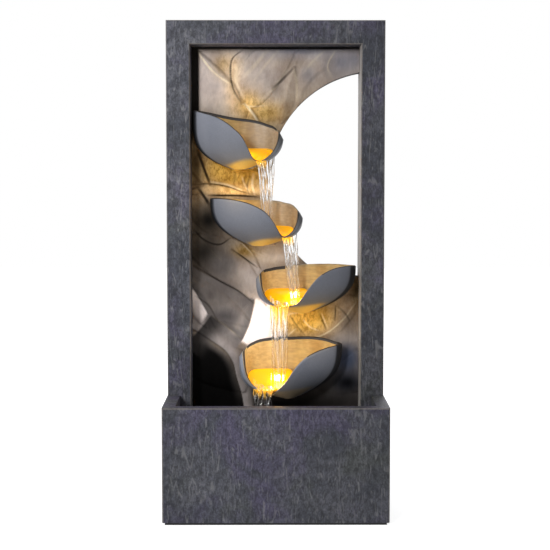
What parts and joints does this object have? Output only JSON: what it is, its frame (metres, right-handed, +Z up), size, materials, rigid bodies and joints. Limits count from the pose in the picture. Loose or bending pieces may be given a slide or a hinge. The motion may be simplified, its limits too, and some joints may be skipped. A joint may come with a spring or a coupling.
{
  "type": "cascade fountain",
  "caption": "Cast resin cascade fountain: a rectangular basin with a portal tower, leaf relief panel with a crescent window and lit leaf cups that pour into each other.",
  "frame": {"origin": "on the ground under the middle of the basin", "axes": "+X to the right seen from the front, +Y to the back, +Z up"},
  "size_m": [0.35, 0.2, 0.784],
  "materials": {
    "slate_resin": "cast resin with a dark slate-like mottled finish",
    "cup_resin": "smooth satin grey cast resin",
    "relief_bronze": "cast resin rubbed with pewter and bronze paint",
    "black_rubber": "matt",
    "zinc_steel": "zinc plated",
    "lamp_plastic": "moulded",
    "lamp_lens": "frosted, lit warm",
    "cable_jacket": "smooth",
    "clip_nylon": "moulded",
    "hose_pvc": "milky clear",
    "pump_plastic": "moulded",
    "magnet": "moulded over a magnet",
    "shaft_ceramic": "ground",
    "dial_plastic": "moulded"
  },
  "bodies": {
    "fountain": {"basin": "slate_resin", "tower_frame": "slate_resin", "rear_cover": "slate_resin", "cup_1": "cup_resin", "cup_2": "cup_resin", "cup_3": "cup_resin", "cup_4": "cup_resin", "relief_panel": "relief_bronze", "foot_pads": "black_rubber", "cable_gland": "black_rubber", "lamp_grommets": "black_rubber", "suction_feet": "black_rubber", "shaft_bushes": "black_rubber", "cover_screws": "zinc_steel", "panel_screws": "zinc_steel", "cup_bolts": "zinc_steel", "lamp_base_1": "lamp_plastic", "lamp_base_2": "lamp_plastic", "lamp_base_3": "lamp_plastic", "lamp_base_4": "lamp_plastic", "lamp_lens_1": "lamp_lens", "lamp_lens_2": "lamp_lens", "lamp_lens_3": "lamp_lens", "lamp_lens_4": "lamp_lens", "lamp_cables": "cable_jacket", "pump_lead": "cable_jacket", "cable_clips": "clip_nylon", "hose_clips": "clip_nylon", "junction_box": "clip_nylon", "junction_lid": "clip_nylon", "inlet_elbow": "clip_nylon", "riser_hose": "hose_pvc", "pump_body": "pump_plastic", "pump_cover": "pump_plastic", "pump_shaft": "shaft_ceramic"},
    "rotor": {"pump_rotor": "magnet"},
    "dial": {"flow_dial": "dial_plastic"},
    "hatch": {"rear_hatch": "slate_resin", "hatch_screws": "zinc_steel"}
  },
  "joints": [
    {"name": "rotor_spin", "type": "hinge", "parent": "fountain", "child": "rotor", "pos_m": [-0.09, 0.062, 0.059], "axis": [1, 0, 0], "continuous": true},
    {"name": "dial_turn", "type": "hinge", "parent": "fountain", "child": "dial", "pos_m": [-0.115, 0.062, 0.059], "axis": [1, 0, 0], "range_deg": [0, 36]},
    {"name": "hatch_lift", "type": "slide", "parent": "fountain", "child": "hatch", "axis": [0, 1, 0], "range_m": [0, 0.08]}
  ]
}
